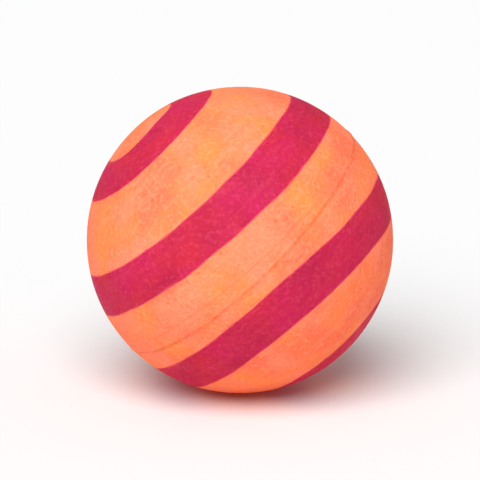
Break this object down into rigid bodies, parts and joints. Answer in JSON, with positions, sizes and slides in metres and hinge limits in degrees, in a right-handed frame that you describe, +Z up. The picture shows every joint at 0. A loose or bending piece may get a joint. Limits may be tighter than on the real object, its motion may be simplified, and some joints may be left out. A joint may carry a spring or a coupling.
{
  "type": "bouncy ball",
  "caption": "Hollow rubber bouncy ball: two cemented half shells, each built of orange and crimson rings that run through the wall.",
  "frame": {"origin": "centre of the ball, which rests on the floor at z = -0.030 m", "axes": "+Z up as the ball lies in the picture, +X to the picture's right, +Y away from the camera; the swirl's axis tilts 41 degrees from +Z towards -X"},
  "size_m": [0.06, 0.0602, 0.06],
  "materials": {
    "orange_rubber": "matte",
    "crimson_rubber": "matte",
    "rubber_cement": "matte"
  },
  "bodies": {
    "root": {"upper_pole_disc": "orange_rubber", "upper_inner_ring": "crimson_rubber", "upper_middle_band": "orange_rubber", "upper_outer_ring": "crimson_rubber", "upper_rim_band": "orange_rubber", "lower_pole_disc": "orange_rubber", "lower_inner_ring": "crimson_rubber", "lower_middle_band": "orange_rubber", "lower_outer_ring": "crimson_rubber", "lower_rim_band": "orange_rubber", "seam_cement": "rubber_cement"}
  },
  "joints": []
}
